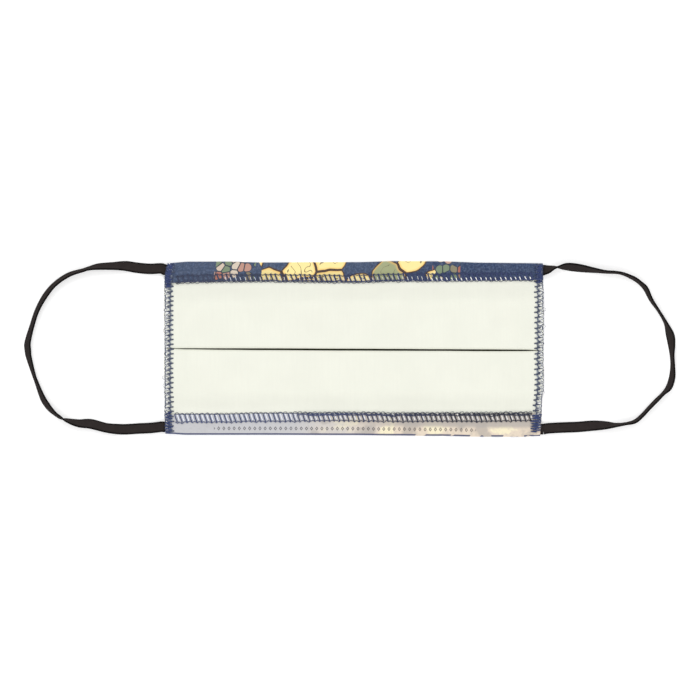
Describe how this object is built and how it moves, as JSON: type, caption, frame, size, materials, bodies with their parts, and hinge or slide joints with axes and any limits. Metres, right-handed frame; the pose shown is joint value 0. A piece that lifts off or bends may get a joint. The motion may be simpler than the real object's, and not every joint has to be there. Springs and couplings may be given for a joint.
{
  "type": "cloth face mask",
  "caption": "Pleated cloth face mask, lying face down, with a white lining, folded printed hems and flat elastic ear loops.",
  "frame": {"origin": "under the middle of the cloth body, on the surface that the mask lies on, face down", "axes": "+X across the face from the left ear loop to the right one as the picture shows them, +Y up to the top hem, +Z from the printed front to the back"},
  "size_m": [0.3255, 0.0879, 0.0075],
  "materials": {
    "printed_cloth": "matt woven cotton with an all-over print on a navy ground, fading to pale cream at the lower hem",
    "lining_cloth": "matt white woven cotton",
    "elastic": "flat knitted black elastic with fine lengthwise ribs"
  },
  "bodies": {
    "root": {"front_panel": "printed_cloth", "lining": "lining_cloth", "ear_loop_left": "elastic", "ear_loop_right": "elastic"}
  },
  "joints": []
}
